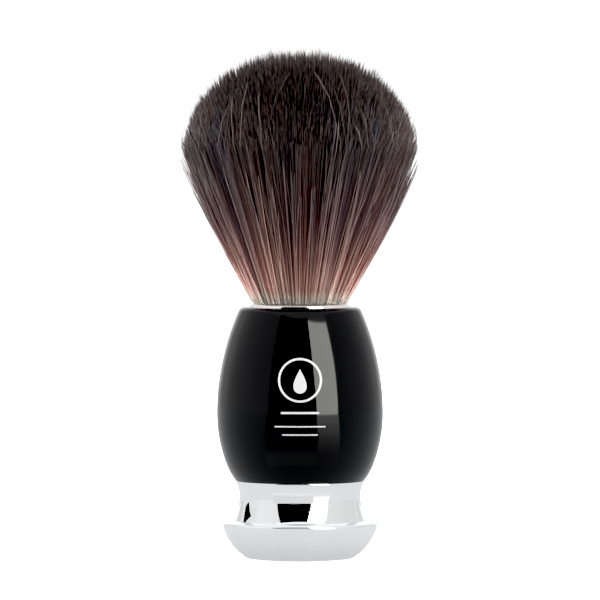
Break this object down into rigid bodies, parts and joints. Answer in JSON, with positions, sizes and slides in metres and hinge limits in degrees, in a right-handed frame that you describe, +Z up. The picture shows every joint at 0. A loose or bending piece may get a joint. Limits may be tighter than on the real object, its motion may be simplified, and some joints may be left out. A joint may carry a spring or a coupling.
{
  "type": "shaving brush",
  "caption": "Shaving brush with a fanned, domed tuft of dark hair, a bellied black resin handle and a flared chromed foot.",
  "frame": {"origin": "centre of the foot's underside, on the surface that the brush stands on", "axes": "+Z up along the axis of the handle and the tuft; the brush is round, and +Y points away from its decorated front"},
  "size_m": [0.054, 0.054, 0.1122],
  "materials": {
    "polished_chrome": "polished chrome plate",
    "seal_rubber": "smooth moulded rubber",
    "cap_plastic": "fine-grained moulded plastic",
    "bright_steel": "zinc-plated steel",
    "turned_brass": "turned brass",
    "black_resin": "hand-polished black resin, glossy",
    "epoxy": "cured amber epoxy",
    "root_hair": "packed pale hair roots",
    "waxed_thread": "waxed linen thread",
    "brush_hair": "dark brown brush hair, paler at the root"
  },
  "bodies": {
    "handle": {"foot": "polished_chrome", "foot_seal": "seal_rubber", "base_cap": "cap_plastic", "flat_washer": "bright_steel", "lock_washer": "bright_steel", "foot_screw": "bright_steel", "threaded_insert": "turned_brass", "barrel": "black_resin", "adhesive_bed": "epoxy", "knot_ferrule": "polished_chrome", "knot_potting": "epoxy", "fibre_roots": "root_hair", "binding_thread": "waxed_thread"},
    "tuft": {"fibre_tuft": "brush_hair"}
  },
  "joints": [
    {"name": "tuft_bend", "type": "hinge", "parent": "handle", "child": "tuft", "pos_m": [0, 0, 0.056], "axis": [0, 1, 0], "range_deg": [-30, 30], "stiffness_Nm_per_rad": 0.15, "deforming": ["fibre_tuft"]}
  ]
}
